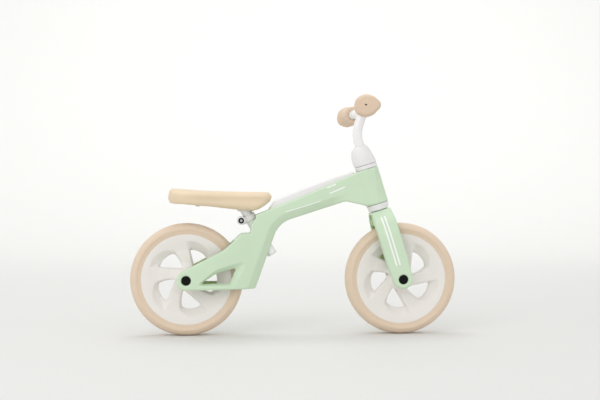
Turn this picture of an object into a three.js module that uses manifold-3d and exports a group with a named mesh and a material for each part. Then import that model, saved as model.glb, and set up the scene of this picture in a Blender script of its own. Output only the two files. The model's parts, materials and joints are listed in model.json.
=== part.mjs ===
// A toddler's balance bike with foam wheels, in millimetres.
// +X is forward, +Y is the rider's left and +Z is up. The origin is on the floor, midway between the axles.
import * as THREE from 'three';
import { mergeVertices } from 'three/addons/utils/BufferGeometryUtils.js';
import Module from 'manifold-3d';

const wasm = await Module();
wasm.setup();

// ---- Driving dimensions ----
const gap = 0.3; // clearance between pieces that touch
const far = 600; // further out than any piece, for cuts that run right through
const wheelbase = 480;
const axleHeight = 125;

const tyre = { radius: axleHeight, halfWidth: 22.5 };
const rimSeat = { radius: 97, lipRadius: 101, lipFrom: 16.5, lipTo: 19.5 }; // the groove that holds a tyre
const hub = { bore: 7, radius: 22, halfWidth: 27, stopTo: 18.7 };
const bearing = { inner: 6.3, outer: 14, width: 8 };
const axle = { radius: 6, bore: 4.3, halfLength: 31.7 };
const spacerRadius = 9;
const windowCount = 5; // openings in a rim
const frontWindowTurn = THREE.MathUtils.degToRad(44.4);
const rearWindowTurn = THREE.MathUtils.degToRad(64);

const forkEnd = { inner: 32, outer: 54 }; // faces of a fork leg or a stay, from the mid-plane
const wheelRoom = 9; // free space round the rear tyre
const forkRoom = 6; // free space round the front tyre
const boltSeat = { radius: 11.4, floor: 46 }; // counterbore that hides an axle bolt's head
const washer = { radius: 11, thickness: 1.5 };
const axleBolt = { headRadius: 10, headHeight: 4, shankRadius: 4, tip: 17 };
const axleBoltSocket = { radius: 4, depth: 2.5 };

const steeringTilt = THREE.MathUtils.degToRad(17);
const head = { radius: 25.5, from: 176, to: 258 }; // distances up the steering axis from the front axle
const headTube = { outer: 19, inner: 16 };
const steerer = { outer: 12.7, inner: 11.35, from: 140, to: 299.7 };
const lowerRing = { from: 162.3, to: 175.7 };
const upperRing = { from: 258.3, to: 267 };
const bushDepth = 20; // how far a ring's bush reaches into the head tube
const stemBase = 267.3;
const stemTop = 312;
const stemBolt = { x: -15.9, headRadius: 3, headFrom: 304, headTo: 307.5, shankRadius: 1.9, tip: 285 };
const crownTop = 162;

const barRadius = 11;
const barWall = 1.6;
const barCentre = { up: 383, forward: 30.3 }; // where the stem tube meets the crossbar, from the front axle
const barStart = 232; // lower end of the stem tube
const grip = { start: 100, length: 81, bore: barRadius + gap, x: 146.2, z: 501, sweep: 5.8 };
const barEnd = 176;
const barEndRoom = 1.3; // between the bar's end and the bottom of a grip's bore
const bulbFrom = 56; // where a grip's outer bulb starts
const ventRadius = 3; // hole in a grip's outer end

const seatTilt = THREE.MathUtils.degToRad(32);
const seatAxisFoot = { x: -48.3, z: 179.6 }; // lower end of the seat post
const seatPost = { radius: 11, inner: 9.2, length: 138 };
const sleeve = { inner: 11.3, outer: 12.6, from: 24, to: 104 };
const clamp = { inner: 12.9, outer: 14.7, from: 91, to: 103.5 };
const clampEar = { x: -19.6, z: 101.7, radius: 9.5, halfWidth: 18 };
const clampSlot = 2.4;
const clampBolt = { headRadius: 6.2, headFrom: 14, headHeight: 4.2, shankRadius: 2.5 };

const shellWall = 3;
const seatBossWall = 4; // round the seat sleeve
const seatBossTop = 110;
const stayWindowFloor = 44; // from the mid-plane, where the window narrows to its opening
const screwSpots = [[110, 330], [25, 291], [-52, 256], [-91, 190], [-92, 135]];
const screw = { headRadius: 3.6, headHeight: 2.2, headDepth: 4, shankRadius: 1.7, bossRadius: 5.5, tip: -14 };

// Sides of the round pieces.
const wheelCutSegments = 48;
const rimSegments = 32;
const roundSegments = 20;
const smallSegments = 14;
const screwSegments = 12;
const hexagon = 6;

// ---- Colours and materials ----
function finish(color, roughness, metalness = 0) {
  return new THREE.MeshStandardMaterial({ color, roughness, metalness });
}

const material = {
  green: finish('#cde1c6', 0.5),
  white: finish('#efece8', 0.45),
  rim: finish('#ebe4dc', 0.5),
  foam: finish('#d7bea5', 0.85),
  beige: finish('#dec6a5', 0.6),
  grey: finish('#c9c8c6', 0.5),
  steel: finish('#b9bcbf', 0.35, 1),
  dark: finish('#26241f', 0.45, 0.6),
};

// ---- Solids ----
const weldDistance = 1e-4; // vertices closer than this are one

function solid(geometry) {
  geometry.deleteAttribute('normal');
  geometry.deleteAttribute('uv');
  const merged = mergeVertices(geometry, weldDistance);
  return new wasm.Manifold(new wasm.Mesh({
    numProp: 3,
    vertProperties: Float32Array.from(merged.attributes.position.array),
    triVerts: Uint32Array.from(merged.index.array),
  }));
}

function mesh(name, body, look) {
  const { vertProperties, triVerts } = body.getMesh();
  const geometry = new THREE.BufferGeometry();
  geometry.setAttribute('position', new THREE.BufferAttribute(vertProperties, 3));
  geometry.setIndex(new THREE.BufferAttribute(triVerts, 1));
  geometry.computeVertexNormals();
  const piece = new THREE.Mesh(geometry, look);
  piece.name = name;
  return piece;
}

// A flat outline in X and Z, made solid between two distances along Y.
function alongY(outline, yFrom, yTo, curveSegments = 4) {
  const low = Math.min(yFrom, yTo);
  const high = Math.max(yFrom, yTo);
  const depth = high - low;
  const geometry = new THREE.ExtrudeGeometry(outline, { depth, bevelEnabled: false, curveSegments });
  return geometry.rotateX(Math.PI / 2).translate(0, high, 0);
}

// A flat outline in X and Y, made solid between two heights.
function alongZ(outline, zFrom, zTo, curveSegments = 4) {
  const depth = zTo - zFrom;
  const geometry = new THREE.ExtrudeGeometry(outline, { depth, bevelEnabled: false, curveSegments });
  return geometry.translate(0, 0, zFrom);
}

function rodZ(radius, zFrom, zTo, segments = roundSegments) {
  const geometry = new THREE.CylinderGeometry(radius, radius, zTo - zFrom, segments);
  return geometry.rotateX(Math.PI / 2).translate(0, 0, (zFrom + zTo) / 2);
}

function rodY(radius, yFrom, yTo, x = 0, z = 0, segments = roundSegments) {
  const geometry = new THREE.CylinderGeometry(radius, radius, Math.abs(yTo - yFrom), segments);
  return geometry.translate(x, (yFrom + yTo) / 2, z);
}

function ringZ(outer, inner, zFrom, zTo) {
  return solid(rodZ(outer, zFrom, zTo)).subtract(solid(rodZ(inner, zFrom - 1, zTo + 1)));
}

function ringY(outer, inner, yFrom, yTo) {
  const body = solid(rodY(outer, yFrom, yTo, 0, 0, smallSegments));
  return body.subtract(solid(rodY(inner, -far, far, 0, 0, smallSegments)));
}

const flatPoints = (points) => points.map(([x, y]) => new THREE.Vector2(x, y));

function outlineThrough(points) {
  return new THREE.Shape(flatPoints(points));
}

function smoothOutline(points, divisions) {
  const curve = new THREE.CatmullRomCurve3(points.map(([x, y]) => new THREE.Vector3(x, y, 0)), true);
  return outlineThrough(curve.getPoints(divisions).slice(0, -1).map(({ x, y }) => [x, y]));
}

// A body turned about the Y axis from a closed profile of [radius, y] points, listed either way round.
function turnedY(profile, segments = roundSegments) {
  const points = flatPoints(profile);
  if (THREE.ShapeUtils.isClockWise(points)) {
    points.reverse();
  }
  return new THREE.LatheGeometry([...points, points[0]], segments);
}

function turnedZ(profile, segments = roundSegments) {
  return turnedY(profile, segments).rotateX(Math.PI / 2);
}

// The left half of a profile and its mirror image, joined into one loop.
function mirroredProfile(half) {
  const right = half.map(([radius, y]) => [radius, -y]).reverse();
  return [...half, ...right];
}

// ---- The tilted frames of the steering and the seat ----
const tiltedFrame = (tilt, x, z) => new THREE.Matrix4().makeRotationY(-tilt).setPosition(x, 0, z);
const steeringFrame = tiltedFrame(steeringTilt, wheelbase / 2, axleHeight);
const seatFrame = tiltedFrame(seatTilt, seatAxisFoot.x, seatAxisFoot.z);

function framed(matrix, pieces) {
  const group = new THREE.Group();
  group.applyMatrix4(matrix);
  group.add(...pieces);
  return group;
}

const sideName = (side) => (side < 0 ? 'right' : 'left');

// ---- Wheels ----
function tyreBody() {
  const inner = rimSeat.radius + gap;
  const shoulder = rimSeat.lipRadius + gap;
  const half = [
    [inner, rimSeat.lipFrom - gap], [shoulder, rimSeat.lipFrom - gap], [shoulder, 20],
    [107, 22], [111, tyre.halfWidth], [117, 20.5], [tyre.radius - 3, 14], [tyre.radius, 5],
  ];
  return solid(turnedY(mirroredProfile(half), rimSegments));
}

// A rim opening: a swept triangle with its apex near the hub, in wheel radius and sideways distance.
function rimWindowOutline() {
  const corners = [[27, -12], [42, -18], [57, -21], [64, -13], [65.5, 3], [62, 19], [44, 7], [31, -3]];
  return smoothOutline(corners, 2 * corners.length);
}

function rimBody(turn) {
  const half = [
    [hub.bore, hub.stopTo], [bearing.outer + gap, hub.stopTo], [bearing.outer + gap, hub.halfWidth],
    [hub.radius, hub.halfWidth], [29, 17], [38, 12], [70, 12], [76, 16],
    [rimSeat.lipRadius, rimSeat.lipTo], [rimSeat.lipRadius, rimSeat.lipFrom],
    [rimSeat.radius, rimSeat.lipFrom],
  ];
  let body = solid(turnedY(mirroredProfile(half), rimSegments));
  for (let index = 0; index < windowCount; index += 1) {
    const opening = alongY(rimWindowOutline(), -far, far);
    opening.rotateY(-turn - (index * 2 * Math.PI) / windowCount);
    body = body.subtract(solid(opening));
  }
  return body;
}

function bearingBody(side) {
  return ringY(bearing.outer, bearing.inner, side * (hub.halfWidth - bearing.width), side * hub.halfWidth);
}

function wheel(end, x, turn) {
  const group = new THREE.Group();
  group.position.set(x, 0, axleHeight);
  group.add(mesh(`${end}_tyre`, tyreBody(), material.foam));
  group.add(mesh(`${end}_rim`, rimBody(turn), material.rim));
  for (const side of [-1, 1]) {
    group.add(mesh(`${end}_bearing_${sideName(side)}`, bearingBody(side), material.steel));
  }
  return group;
}

// ---- Axles, with their spacers, washers and bolts ----
function axleBoltBody(side) {
  const seat = boltSeat.floor + gap + washer.thickness + gap;
  const top = seat + axleBolt.headHeight;
  const headPiece = solid(rodY(axleBolt.headRadius, side * seat, side * top, 0, 0, smallSegments));
  const shankEnd = side * (seat + 1);
  const shank = solid(rodY(axleBolt.shankRadius, side * axleBolt.tip, shankEnd, 0, 0, screwSegments));
  const socketFrom = side * (top - axleBoltSocket.depth);
  const socket = solid(rodY(axleBoltSocket.radius, socketFrom, side * far, 0, 0, hexagon));
  return headPiece.add(shank).subtract(socket);
}

function axleSet(end, x) {
  const group = new THREE.Group();
  group.position.set(x, 0, axleHeight);
  const tube = ringY(axle.radius, axle.bore, -axle.halfLength, axle.halfLength);
  group.add(mesh(`${end}_axle`, tube, material.steel));
  for (const side of [-1, 1]) {
    const spacer = ringY(spacerRadius, bearing.inner, side * (hub.halfWidth + gap), side * axle.halfLength);
    const washerFrom = boltSeat.floor + gap;
    const disc = ringY(washer.radius, axle.bore, side * washerFrom, side * (washerFrom + washer.thickness));
    group.add(mesh(`${end}_spacer_${sideName(side)}`, spacer, material.grey));
    group.add(mesh(`${end}_washer_${sideName(side)}`, disc, material.dark));
    group.add(mesh(`${end}_bolt_${sideName(side)}`, axleBoltBody(side), material.dark));
  }
  return group;
}

// Cuts the hole and the counterbores for an axle's bolts through two legs or stays.
function drillForAxle(body, x, z) {
  const through = solid(rodY(axle.bore, -far, far, x, z, smallSegments));
  const right = solid(rodY(boltSeat.radius, -far, -boltSeat.floor, x, z));
  const left = solid(rodY(boltSeat.radius, boltSeat.floor, far, x, z));
  return body.subtract(through).subtract(right).subtract(left);
}

// ---- Frame shells ----
function frameSideOutline() {
  const outline = new THREE.Shape();
  outline.moveTo(-87, 268);
  outline.lineTo(12, 307);
  outline.lineTo(141, 364);
  outline.lineTo(165, 371);
  outline.lineTo(188, 293);
  outline.lineTo(163, 288);
  outline.splineThru(flatPoints([[143, 292.5], [116, 296], [80, 287]]));
  outline.lineTo(-10, 258);
  outline.splineThru(flatPoints([[-32, 245], [-47, 223], [-53, 201]]));
  outline.lineTo(-87.5, 104);
  outline.lineTo(-wheelbase / 2, 104);
  outline.absarc(-wheelbase / 2, axleHeight, 21, -Math.PI / 2, -Math.PI * 1.28, true);
  outline.lineTo(-224, 158);
  outline.lineTo(-160, 190);
  outline.splineThru(flatPoints([[-137, 204], [-124, 219], [-115.5, 226]]));
  outline.lineTo(-98, 229);
  outline.lineTo(-97, 246);
  outline.lineTo(-88, 259);
  return outline;
}

// Half of the frame seen from above, with its outer face `inset` inside the real one.
function framePlanOutline(side, inset = 0) {
  const widths = [
    [215, 25.5], [0, 26], [-50, 28], [-90, 33], [-130, 44], [-170, 51],
    [-210, forkEnd.outer], [-265, forkEnd.outer],
  ];
  const outer = widths.map(([x, halfWidth]) => [x, side * (halfWidth - inset)]);
  return outlineThrough([[215, side * (gap / 2)], ...outer, [-265, side * (gap / 2)]]);
}

function shellPocketOutline() {
  return outlineThrough([
    [-72, 270], [133, 354], [139, 346], [152, 303], [128, 300.5], [102, 297.5], [-12, 262.5], [-27, 257],
    [-38, 246.5], [-47.5, 231], [-57, 212], [-58, 200], [-92, 110], [-99, 110], [-97, 215],
    [-92, 228], [-91, 250],
  ]);
}

function stayWindowOutline() {
  const corners = [[-211, 119], [-172, 147], [-137, 159], [-117, 160], [-121, 142], [-137, 116], [-170, 114]];
  return smoothOutline(corners, 4 * corners.length);
}

function stayOpeningOutline() {
  const corners = [[-205, 118.5], [-173, 138], [-153, 146], [-137, 149], [-139, 138], [-147, 118]];
  return smoothOutline(corners, 4 * corners.length);
}

function screwBosses(side) {
  const [seam, outer] = [side * (gap / 2), side * forkEnd.outer];
  const boss = ([x, z]) => rodY(screw.bossRadius, seam, outer, x, z, screwSegments);
  return screwSpots.map((spot) => solid(boss(spot)));
}

// Half the width of the shell where a screw's head sits.
function shellHalfWidth(x) {
  return x > -60 ? 26 : 31;
}

// The left half has the recesses for the heads, and the right half the blind holes for the tips.
function drillForScrews(body, side) {
  let drilled = body;
  for (const [x, z] of screwSpots) {
    const holeEnd = side < 0 ? screw.tip - gap : far;
    drilled = drilled.subtract(solid(rodY(screw.shankRadius + gap, 0, holeEnd, x, z, screwSegments)));
    if (side > 0) {
      const recessFloor = shellHalfWidth(x) - screw.headDepth;
      drilled = drilled.subtract(solid(rodY(screw.headRadius + gap, recessFloor, far, x, z, screwSegments)));
    }
  }
  return drilled;
}

function cutRodZ(body, radius, zFrom, zTo, matrix) {
  return body.subtract(solid(rodZ(radius, zFrom, zTo).applyMatrix4(matrix)));
}

function frameShell(side) {
  const planBody = (inset) => solid(alongZ(framePlanOutline(side, inset), 0, far));
  const outer = solid(alongY(frameSideOutline(), 0, side * far)).intersect(planBody(0));
  const pocket = solid(alongY(shellPocketOutline(), 0, side * far)).intersect(planBody(shellWall));
  const seam = side * (gap / 2);
  const halfPlan = outlineThrough([[-far, seam], [far, seam], [far, side * far], [-far, side * far]]);
  const headRod = solid(rodZ(head.radius, head.from, head.to).applyMatrix4(steeringFrame));
  const seatBoss = solid(rodZ(sleeve.outer + seatBossWall, 0, seatBossTop).applyMatrix4(seatFrame));
  let body = outer.subtract(pocket).add(headRod.intersect(solid(alongZ(halfPlan, 0, far))));
  for (const boss of [seatBoss, ...screwBosses(side)]) {
    body = body.add(boss.intersect(outer));
  }
  const wheelCut = tyre.radius + wheelRoom;
  const rearX = -wheelbase / 2;
  const wheelSpace = rodY(wheelCut, -forkEnd.inner, forkEnd.inner, rearX, axleHeight, wheelCutSegments);
  body = body.subtract(solid(wheelSpace));
  body = cutRodZ(body, headTube.outer + gap, head.from - 40, head.to + 40, steeringFrame);
  body = cutRodZ(body, sleeve.outer + gap, -40, 130, seatFrame);
  body = cutRodZ(body, clamp.outer + 2 * gap, clamp.from - gap, 130, seatFrame);
  body = body.subtract(solid(alongY(stayOpeningOutline(), 0, side * far)));
  body = body.subtract(solid(alongY(stayWindowOutline(), side * stayWindowFloor, side * far)));
  body = drillForAxle(body, rearX, axleHeight);
  return drillForScrews(body, side);
}

function frameScrewBody([x, z]) {
  const headFrom = shellHalfWidth(x) - screw.headDepth + gap;
  const headTo = headFrom + screw.headHeight;
  const headPiece = solid(rodY(screw.headRadius, headFrom, headTo, x, z, screwSegments));
  return headPiece.add(solid(rodY(screw.shankRadius, screw.tip, headFrom + 1, x, z, screwSegments)));
}

// Height of the beam's top, whose slope changes once.
function beamTop(x) {
  const [rearX, bendX, frontX] = [-87, 12, 141];
  const [rearZ, bendZ, frontZ] = [268, 307, 364];
  const slope = x < bendX ? (bendZ - rearZ) / (bendX - rearX) : (frontZ - bendZ) / (frontX - bendX);
  return bendZ + (x - bendX) * slope;
}

// The off-white strip along the top of the beam, open underneath.
function topCoverBody() {
  const side = outlineThrough([
    [-61, beamTop(-61) + gap], [-53.5, 287], [-43, 301], [-10, 315.6], [80, 349.5], [132, 366.5],
    [133, beamTop(133) + gap], [12, beamTop(12) + gap],
  ]);
  const plan = outlineThrough([
    [-61, -6], [-52, -12], [-44, -17], [-20, -20], [133, -20],
    [133, 20], [-20, 20], [-44, 17], [-52, 12], [-61, 6],
  ]);
  const under = outlineThrough([
    [-38, 280], [-38, 298], [-9, 311], [80, 344.5], [127, 360], [127, 340], [12, 300],
  ]);
  const body = solid(alongY(side, -far, far)).intersect(solid(alongZ(plan, 0, far)));
  return body.subtract(solid(alongY(under, -17, 17)));
}

function frameGroup() {
  const group = new THREE.Group();
  for (const side of [-1, 1]) {
    group.add(mesh(`frame_shell_${sideName(side)}`, frameShell(side), material.green));
  }
  group.add(mesh('top_cover', topCoverBody(), material.white));
  screwSpots.forEach((spot, index) => {
    group.add(mesh(`frame_screw_${index + 1}`, frameScrewBody(spot), material.steel));
  });
  return group;
}

// ---- Head bushes and head tube ----
function lowerRingBody() {
  const [inner, bush] = [steerer.outer + gap, headTube.inner - gap];
  const profile = [
    [inner, lowerRing.from], [23, lowerRing.from], [25, lowerRing.to], [bush, lowerRing.to],
    [bush, lowerRing.to + bushDepth], [inner, lowerRing.to + bushDepth],
  ];
  return solid(turnedZ(profile));
}

function upperRingBody() {
  const [inner, bush] = [steerer.outer + gap, headTube.inner - gap];
  const profile = [
    [inner, upperRing.from - bushDepth], [bush, upperRing.from - bushDepth], [bush, upperRing.from],
    [25.5, upperRing.from], [25, upperRing.to], [inner, upperRing.to],
  ];
  return solid(turnedZ(profile));
}

function headSet() {
  return framed(steeringFrame, [
    mesh('head_tube', ringZ(headTube.outer, headTube.inner, head.from, head.to), material.steel),
    mesh('lower_head_ring', lowerRingBody(), material.white),
    mesh('upper_head_ring', upperRingBody(), material.white),
  ]);
}

// ---- Fork, steerer, stem and handlebar, in steering coordinates ----
function forkBody() {
  const side = new THREE.Shape();
  side.moveTo(-20.5, 0);
  side.absarc(0, 0, 20.5, Math.PI, 0, false);
  side.splineThru(flatPoints([[22.5, 20], [24, 45]]));
  side.lineTo(24, 130);
  side.lineTo(23, crownTop);
  side.lineTo(-23, crownTop);
  side.lineTo(-25, 130);
  side.lineTo(-25, 45);
  side.splineThru(flatPoints([[-23, 20], [-20.5, 0]]));
  const { outer, inner } = forkEnd;
  const halfFront = [[24, crownTop], [31, 155], [42, 143], [50, 128], [53, 108], [outer, 70], [outer, -30]];
  const front = outlineThrough([...halfFront, ...halfFront.map(([y, z]) => [-y, z]).reverse()]);
  const frontBody = alongY(front, -far, far).rotateZ(Math.PI / 2);
  let body = solid(alongY(side, -far, far)).intersect(solid(frontBody));
  body = body.subtract(solid(rodY(tyre.radius + forkRoom, -inner, inner, 0, 0, wheelCutSegments)));
  body = body.subtract(solid(rodZ(steerer.outer + gap, steerer.from - gap, far)));
  return drillForAxle(body, 0, 0);
}

function stemBody() {
  const step = steerer.to + gap;
  const profile = [
    [steerer.outer + gap, stemBase], [26.5, stemBase], [26, 285], [23.5, 300], [19.5, 308], [14, stemTop],
    [barRadius + gap, stemTop], [barRadius + gap, step], [steerer.outer + gap, step],
  ];
  const { x, headRadius, headFrom, shankRadius, tip } = stemBolt;
  const shankHole = solid(rodZ(shankRadius + gap, tip - gap, far, screwSegments).translate(x, 0, 0));
  const headRoom = solid(rodZ(headRadius + gap, headFrom - gap, far, screwSegments).translate(x, 0, 0));
  return solid(turnedZ(profile)).subtract(shankHole).subtract(headRoom);
}

function stemBoltBody() {
  const { x, headRadius, headFrom, headTo, shankRadius, tip } = stemBolt;
  const boltHead = solid(rodZ(headRadius, headFrom, headTo, screwSegments).translate(x, 0, 0));
  return boltHead.add(solid(rodZ(shankRadius, tip, headFrom + 1, screwSegments).translate(x, 0, 0)));
}

function stemTubePath(extra) {
  const path = new THREE.CurvePath();
  const bottom = new THREE.Vector3(0, 0, barStart - extra);
  const bendStart = new THREE.Vector3(0, 0, 322);
  const bendPull = new THREE.Vector3(0, 0, 345);
  const endPull = new THREE.Vector3(13, 0, 361);
  const end = new THREE.Vector3(barCentre.forward, 0, barCentre.up);
  path.add(new THREE.LineCurve3(bottom, bendStart));
  path.add(new THREE.CubicBezierCurve3(bendStart, bendPull, endPull, end));
  return path;
}

// The crossbar: a bowed middle and a straight end under each grip, in the bike's own coordinates.
function crossbarPath(extra) {
  const slope = Math.tan(THREE.MathUtils.degToRad(grip.sweep));
  const at = (side, y) => new THREE.Vector3(grip.x - (y - grip.start) * slope, side * y, grip.z);
  const middle = new THREE.Vector3(157, 0, 500);
  const beside = (side) => new THREE.Vector3(157, side * 30, 500);
  const path = new THREE.CurvePath();
  path.add(new THREE.LineCurve3(at(-1, barEnd + extra), at(-1, 90)));
  path.add(new THREE.CubicBezierCurve3(at(-1, 90), at(-1, 60), beside(-1), middle));
  path.add(new THREE.CubicBezierCurve3(middle, beside(1), at(1, 60), at(1, 90)));
  path.add(new THREE.LineCurve3(at(1, 90), at(1, barEnd + extra)));
  return path;
}

function tubeAlong(path, radius, steps) {
  const circle = new THREE.Shape();
  circle.absarc(0, 0, radius, 0, 2 * Math.PI, false);
  const curveSegments = 7;
  return new THREE.ExtrudeGeometry(circle, { steps, extrudePath: path, curveSegments, bevelEnabled: false });
}

// The stem tube and the crossbar, `extra` longer than the real ones at their open ends.
function handlebarTubes(radius, extra) {
  const toSteering = steeringFrame.clone().invert();
  const crossbar = solid(tubeAlong(crossbarPath(extra), radius, 20).applyMatrix4(toSteering));
  return crossbar.add(solid(tubeAlong(stemTubePath(extra), radius, 10)));
}

function handlebarBody() {
  return handlebarTubes(barRadius, 0).subtract(handlebarTubes(barRadius - barWall, 2));
}

// ---- Grips: an egg-shaped outer end, a slimmer body and a small inner flange ----
function gripBulbOutline() {
  const corners = [
    [-23, -2], [-19, 13], [-3, 21.5], [13, 19], [28, 10], [34.5, 0], [28, -10.5], [13, -20],
    [-2, -24], [-17, -18],
  ];
  return smoothOutline(corners, 2 * corners.length);
}

function gripBody(side) {
  const bevel = 5;
  const bulb = new THREE.ExtrudeGeometry(gripBulbOutline(), {
    depth: grip.length - bulbFrom - 2 * bevel,
    bevelSize: bevel,
    bevelOffset: -bevel,
    bevelThickness: bevel,
    bevelSegments: 1,
  });
  bulb.rotateX(Math.PI / 2).translate(0, side > 0 ? grip.length - bevel : -bulbFrom - bevel, 0);
  const innerRadius = grip.bore - 2;
  const sleeveProfile = [
    [innerRadius, 0], [20, 0], [20.5, 3], [20, 6], [16.5, 12], [16.5, 34],
    [20, 50], [20, 62], [innerRadius, 62],
  ].map(([radius, y]) => [radius, side * y]);
  const body = solid(bulb).add(solid(turnedY(sleeveProfile)));
  const boreEnd = barEnd - grip.start + barEndRoom;
  const bored = body.subtract(solid(rodY(grip.bore, side * -5, side * boreEnd)));
  return bored.subtract(solid(rodY(ventRadius, 0, side * far, 0, 0, screwSegments)));
}

function gripPiece(side) {
  const group = new THREE.Group();
  group.position.set(grip.x, side * grip.start, grip.z);
  group.rotation.z = side * THREE.MathUtils.degToRad(grip.sweep);
  group.add(mesh(`grip_${sideName(side)}`, gripBody(side), material.beige));
  return group;
}

function steeringSet() {
  const steererBody = ringZ(steerer.outer, steerer.inner, steerer.from, steerer.to);
  return framed(steeringFrame, [
    mesh('fork', forkBody(), material.green),
    mesh('steerer_tube', steererBody, material.steel),
    mesh('stem', stemBody(), material.white),
    mesh('stem_bolt', stemBoltBody(), material.dark),
    mesh('handlebar', handlebarBody(), material.white),
  ]);
}

// ---- Seat post, its sleeve and clamp, in seat coordinates ----
function clampBody() {
  const { inner, outer, from, to } = clamp;
  const { x, z, radius, halfWidth } = clampEar;
  const ears = solid(rodY(radius, -halfWidth, halfWidth, x, z));
  const neck = solid(alongY(outlineThrough([[x, from], [0, from], [0, to], [x, to]]), -12, 12));
  const rearHalf = outlineThrough([[-far, 0], [0, 0], [0, far], [-far, far]]);
  const slot = solid(alongY(rearHalf, -clampSlot / 2, clampSlot / 2));
  let body = solid(rodZ(outer, from, to)).add(ears).add(neck);
  body = body.subtract(solid(rodZ(inner, 0, far))).subtract(slot);
  body = body.subtract(solid(rodY(clampBolt.shankRadius + gap, -far, far, x, z, screwSegments)));
  const headRoom = clampBolt.headRadius + gap;
  body = body.subtract(solid(rodY(headRoom, -far, -clampBolt.headFrom, x, z)));
  return body.subtract(solid(rodY(headRoom, clampBolt.headFrom, far, x, z)));
}

function clampBoltBody() {
  const { headRadius, headFrom, headHeight, shankRadius } = clampBolt;
  const { x, z, halfWidth } = clampEar;
  const headBase = -headFrom - gap;
  const boltHead = solid(rodY(headRadius, headBase, headBase - headHeight, x, z));
  const shank = solid(rodY(shankRadius, headBase - 1, halfWidth - 0.5, x, z, screwSegments));
  const socket = solid(rodY(2.8, headBase - headHeight / 2, -far, x, z, hexagon));
  return boltHead.add(shank).subtract(socket);
}

function clampNutBody() {
  const { headRadius, headFrom, shankRadius } = clampBolt;
  const { x, z, halfWidth } = clampEar;
  const nut = solid(rodY(headRadius - 0.4, headFrom + gap, halfWidth - 0.4, x, z, hexagon));
  return nut.subtract(solid(rodY(shankRadius + gap, 0, far, x, z, screwSegments)));
}

function sleeveBody() {
  return ringZ(sleeve.outer, sleeve.inner, sleeve.from, sleeve.to);
}

function postPlugBody() {
  return solid(rodZ(seatPost.radius, 0, 2.7)).add(solid(rodZ(seatPost.inner - gap, 1, 14)));
}

function seatTubeSet() {
  return framed(seatFrame, [
    mesh('seat_sleeve', sleeveBody(), material.grey),
    mesh('seat_clamp', clampBody(), material.grey),
    mesh('seat_clamp_bolt', clampBoltBody(), material.dark),
    mesh('seat_clamp_nut', clampNutBody(), material.steel),
    mesh('seat_post', ringZ(seatPost.radius, seatPost.inner, 3, seatPost.length), material.white),
    mesh('post_plug', postPlugBody(), material.grey),
  ]);
}

// ---- Saddle ----
const saddlePlateFrom = 296;
const saddlePlateTo = 304.7;
const plateInset = 9.6; // from the saddle's edge to the edge of the plate under it
const saddleBossFrom = 275.7; // lower end of the boss that takes the seat post
const saddleScrewSpots = { front: -95, rear: -225 };
const saddleScrew = { headRadius: 4, headHeight: 2.4, shankRadius: 2, tip: 311 };

const movedAlongX = (x) => new THREE.Matrix4().makeTranslation(x, 0, 0);

// The saddle seen from above, with its edge `inset` inside the real one.
function saddlePlanOutline(inset) {
  const half = [
    [-279, 30], [-266, 58], [-243, 70], [-212, 65], [-175, 48], [-135, 36], [-95, 31], [-66, 26], [-53, 14],
  ];
  const right = half.map(([x, y]) => [x, -y]).reverse();
  const middle = -165;
  const shrink = ([x, y]) => [middle + (x - middle) * (1 - inset / 115), y * (1 - inset / 45)];
  return smoothOutline([...half, ...right].map(shrink), 36);
}

function saddleSideOutline() {
  return outlineThrough([
    [-280, 308], [-277, 298], [-270, 294], [-188, 286.5], [-122, 279], [-93, 277], [-81, 280], [-66, 287],
    [-57, 295], [-51, 305], [-50.5, 311], [-56, 317], [-64, 319.5], [-122, 320], [-199, 322.5], [-252, 326],
    [-266, 327.5], [-275, 324],
  ]);
}

// Rounds the long top edges of the saddle.
function saddleCrownOutline() {
  return outlineThrough([
    [-75, 270], [75, 270], [75, 306], [70, 316], [58, 323], [35, 327.8],
    [-35, 327.8], [-58, 323], [-70, 316], [-75, 306],
  ]);
}

function saddlePadBody() {
  const plan = solid(alongZ(saddlePlanOutline(0), 0, far));
  const crown = solid(alongY(saddleCrownOutline(), -far, far).rotateZ(Math.PI / 2));
  let body = solid(alongY(saddleSideOutline(), -far, far)).intersect(plan).intersect(crown);
  body = body.subtract(solid(alongZ(saddlePlanOutline(plateInset - 0.6), 0, saddlePlateTo + gap)));
  for (const x of Object.values(saddleScrewSpots)) {
    body = cutRodZ(body, saddleScrew.shankRadius + gap, 0, saddleScrew.tip + 1, movedAlongX(x));
  }
  return body;
}

function saddleBaseBody() {
  const plate = solid(alongZ(saddlePlanOutline(plateInset), saddlePlateFrom, saddlePlateTo));
  const everywhere = outlineThrough([[-far, -far], [far, -far], [far, far], [-far, far]]);
  const slab = solid(alongZ(everywhere, saddleBossFrom, saddlePlateTo));
  const boss = solid(rodZ(15, 100, 170).applyMatrix4(seatFrame)).intersect(slab);
  const lugPlan = outlineThrough([[-221, -6], [-210, -6], [-210, 6], [-221, 6]]);
  let body = plate.add(boss).add(solid(alongZ(lugPlan, 287, saddlePlateFrom + 1)));
  body = cutRodZ(body, seatPost.radius + gap, 80, seatPost.length + gap, seatFrame);
  for (const x of Object.values(saddleScrewSpots)) {
    body = cutRodZ(body, saddleScrew.shankRadius + gap, 0, far, movedAlongX(x));
  }
  return body;
}

function saddleScrewBody(x) {
  const { headRadius, headHeight, shankRadius, tip } = saddleScrew;
  const headTo = saddlePlateFrom - gap;
  const screwHead = solid(rodZ(headRadius, headTo - headHeight, headTo, screwSegments));
  const shank = solid(rodZ(shankRadius, headTo - 1, tip, screwSegments));
  return screwHead.add(shank).translate(x, 0, 0);
}

function saddleSet() {
  const group = new THREE.Group();
  group.add(mesh('saddle_pad', saddlePadBody(), material.beige));
  group.add(mesh('saddle_base', saddleBaseBody(), material.grey));
  for (const [end, x] of Object.entries(saddleScrewSpots)) {
    group.add(mesh(`saddle_screw_${end}`, saddleScrewBody(x), material.steel));
  }
  return group;
}

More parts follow.
